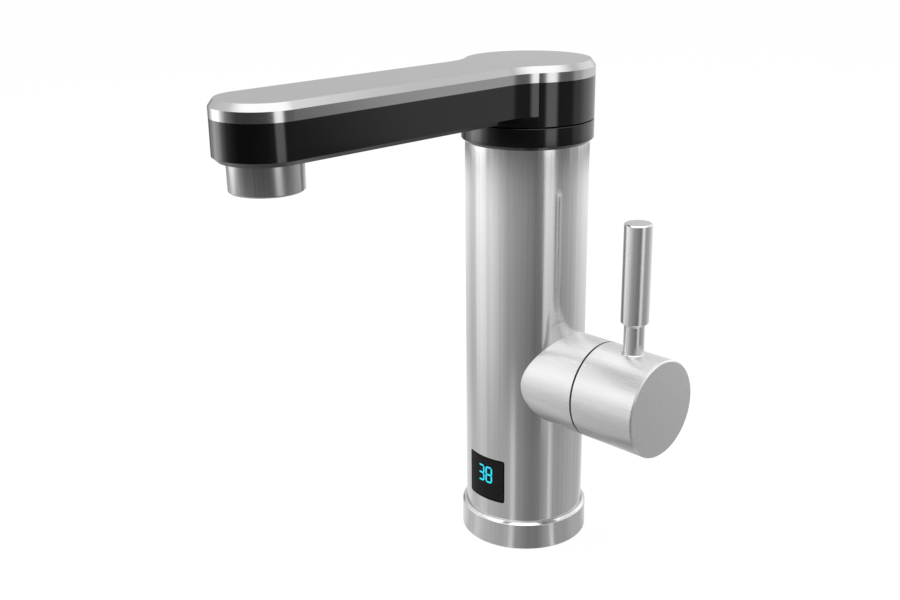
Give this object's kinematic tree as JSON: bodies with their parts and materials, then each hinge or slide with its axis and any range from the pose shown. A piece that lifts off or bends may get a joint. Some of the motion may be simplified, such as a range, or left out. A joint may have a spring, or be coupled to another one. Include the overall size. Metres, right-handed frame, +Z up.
{
  "type": "electric instant water heater tap",
  "caption": "Upright polished column tap that heats water as it flows, with a flat black and silver swivel spout, a round side knob with an upright lever and a small temperature display.",
  "frame": {"origin": "centre of the base ring's seat on the worktop", "axes": "+Z up along the column, the spout points along -Y, the handle sticks out along +X"},
  "size_m": [0.1172, 0.2065, 0.2436],
  "materials": {
    "polished_steel": "polished stainless steel",
    "chrome": "polished chrome plating",
    "black_gloss": "high gloss",
    "silver_gloss": "metallised silver, smooth",
    "display_black": "smoked, glossy",
    "cast_alloy": "die cast, matte",
    "brass": "turned",
    "copper": "drawn copper tube",
    "steel_parts": "plain",
    "tank_steel": "pressed and welded stainless steel",
    "black_plastic": "moulded",
    "ivory_plastic": "moulded",
    "board_green": "fibreglass circuit board",
    "relay_blue": "moulded",
    "cartridge_white": "moulded",
    "fired_ceramic": "lapped fired ceramic",
    "seal_rubber": "moulded"
  },
  "bodies": {
    "column": {"base_ring": "chrome", "base_gasket": "seal_rubber", "base_plate": "cast_alloy", "base_screws": "steel_parts", "plate_screws": "steel_parts", "inlet_socket": "brass", "cable_gland": "black_plastic", "inlet_pipe": "copper", "flow_switch": "black_plastic", "body_tube": "polished_steel", "board_carrier": "ivory_plastic", "display_window": "display_black", "digit_module": "black_plastic", "display_board": "board_green", "power_board": "board_green", "power_relay": "relay_blue", "terminal_block": "board_green", "valve_manifold": "brass", "cartridge_housing": "brass", "valve_boss": "chrome", "valve_cartridge": "cartridge_white", "cartridge_nut": "brass", "fixed_disc": "fired_ceramic", "tank_pipe": "copper", "heater_tank": "tank_steel", "heating_element": "tank_steel", "element_bushings": "fired_ceramic", "thermal_cutout": "black_plastic", "tank_seal": "seal_rubber", "tank_lid": "tank_steel", "lid_screws": "steel_parts", "temperature_probe": "steel_parts", "outlet_spigot": "brass", "spigot_o_rings": "seal_rubber", "swivel_collar": "black_gloss", "collar_screws": "steel_parts", "swivel_washer": "ivory_plastic", "retaining_clip": "steel_parts"},
    "spout": {"spout_shell": "black_gloss", "spout_channel": "ivory_plastic", "channel_plug": "ivory_plastic", "plug_seal": "seal_rubber", "spout_cover": "silver_gloss", "aerator_sleeve": "chrome", "aerator_insert": "ivory_plastic", "aerator_gasket": "seal_rubber"},
    "handle": {"handle_knob": "chrome", "valve_spindle": "brass", "moving_disc": "fired_ceramic", "lever_stem": "chrome", "lever_grip": "chrome"}
  },
  "joints": [
    {"name": "spout_swivel", "type": "hinge", "parent": "column", "child": "spout", "pos_m": [0, 0, 0.2161], "axis": [0, 0, 1], "continuous": true},
    {"name": "handle_turn", "type": "hinge", "parent": "column", "child": "handle", "pos_m": [0.0501, 0, 0.0894], "axis": [1, 0, 0], "range_deg": [-90, 90]}
  ]
}
